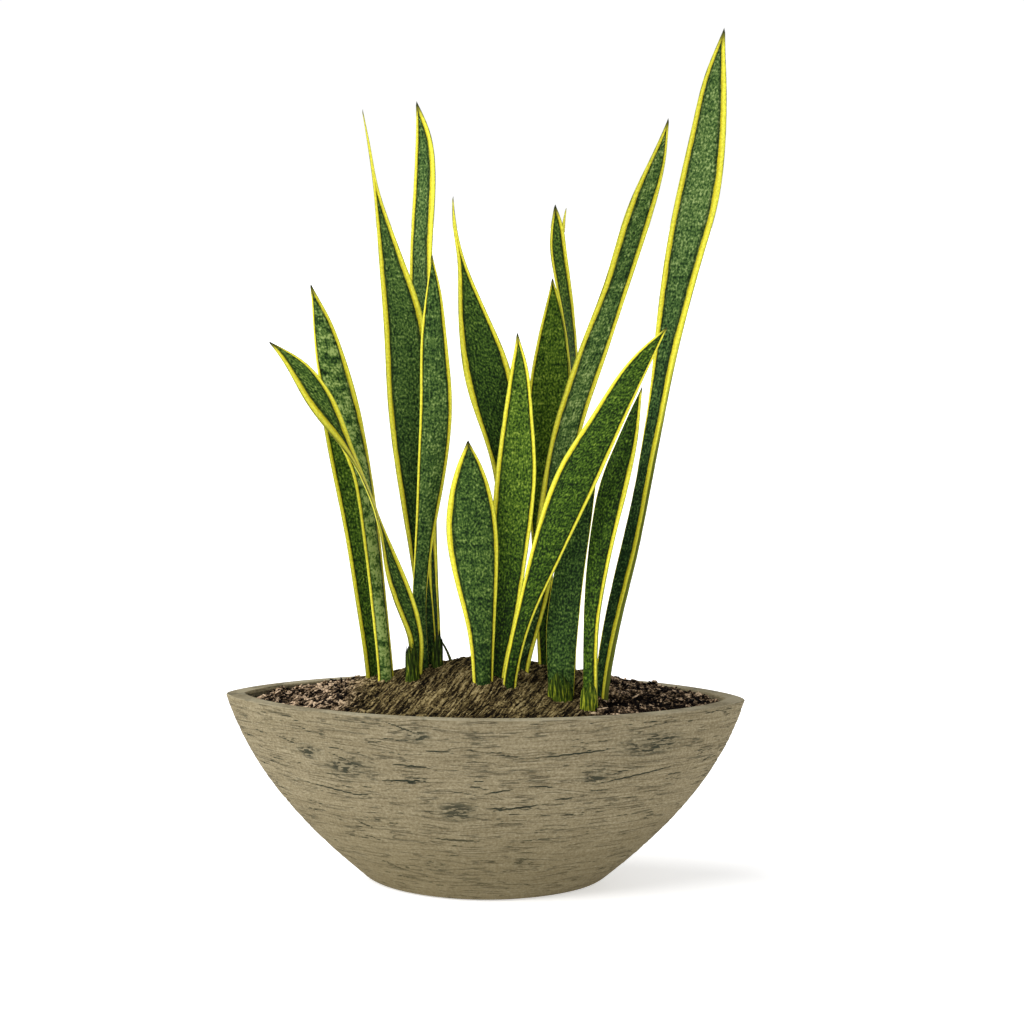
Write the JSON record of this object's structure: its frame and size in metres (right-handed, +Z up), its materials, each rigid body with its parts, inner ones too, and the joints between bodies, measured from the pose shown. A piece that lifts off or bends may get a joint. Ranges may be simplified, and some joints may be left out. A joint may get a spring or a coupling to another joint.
{
  "type": "potted snake plant",
  "caption": "Upright sword-shaped leaves with pale margins growing in fans from a soil mound in a long boat-shaped planter.",
  "frame": {"origin": "middle of the planter's flat foot, on the surface it stands on", "axes": "+X along the planter towards the side of the tallest leaf, +Y towards the back, +Z up"},
  "size_m": [0.5182, 0.2394, 0.8441],
  "materials": {
    "planter_stone": "matt weathered cast stone, cut by fine lengthwise grooves and a few shallow cracks",
    "soil": "loose damp potting mix with bark chips and fibres, matt",
    "leaf": "waxy satin leaf, mottled dark green with yellow margins",
    "dry_sheath": "fibrous leaf sheath, streaked green and yellow, matt",
    "shoot": "satin young shoot"
  },
  "bodies": {
    "root": {"planter": "planter_stone", "potting_soil": "soil", "left_fan_leaf_1": "leaf", "left_fan_leaf_2": "leaf", "mid_left_fan_leaf_1": "leaf", "mid_left_fan_leaf_2": "leaf", "mid_left_fan_leaf_3": "leaf", "mid_left_fan_leaf_4": "leaf", "centre_fan_leaf_1": "leaf", "centre_fan_leaf_2": "leaf", "centre_fan_leaf_3": "leaf", "centre_fan_leaf_4": "leaf", "centre_fan_leaf_5": "leaf", "mid_right_fan_leaf_1": "leaf", "mid_right_fan_leaf_2": "leaf", "mid_right_fan_leaf_3": "leaf", "right_fan_leaf_1": "leaf", "right_fan_leaf_2": "leaf", "mid_left_fan_sheath_1": "dry_sheath", "mid_left_fan_sheath_2": "dry_sheath", "mid_right_fan_sheath_1": "dry_sheath", "right_fan_sheath_1": "dry_sheath", "side_shoot": "shoot"}
  },
  "joints": []
}
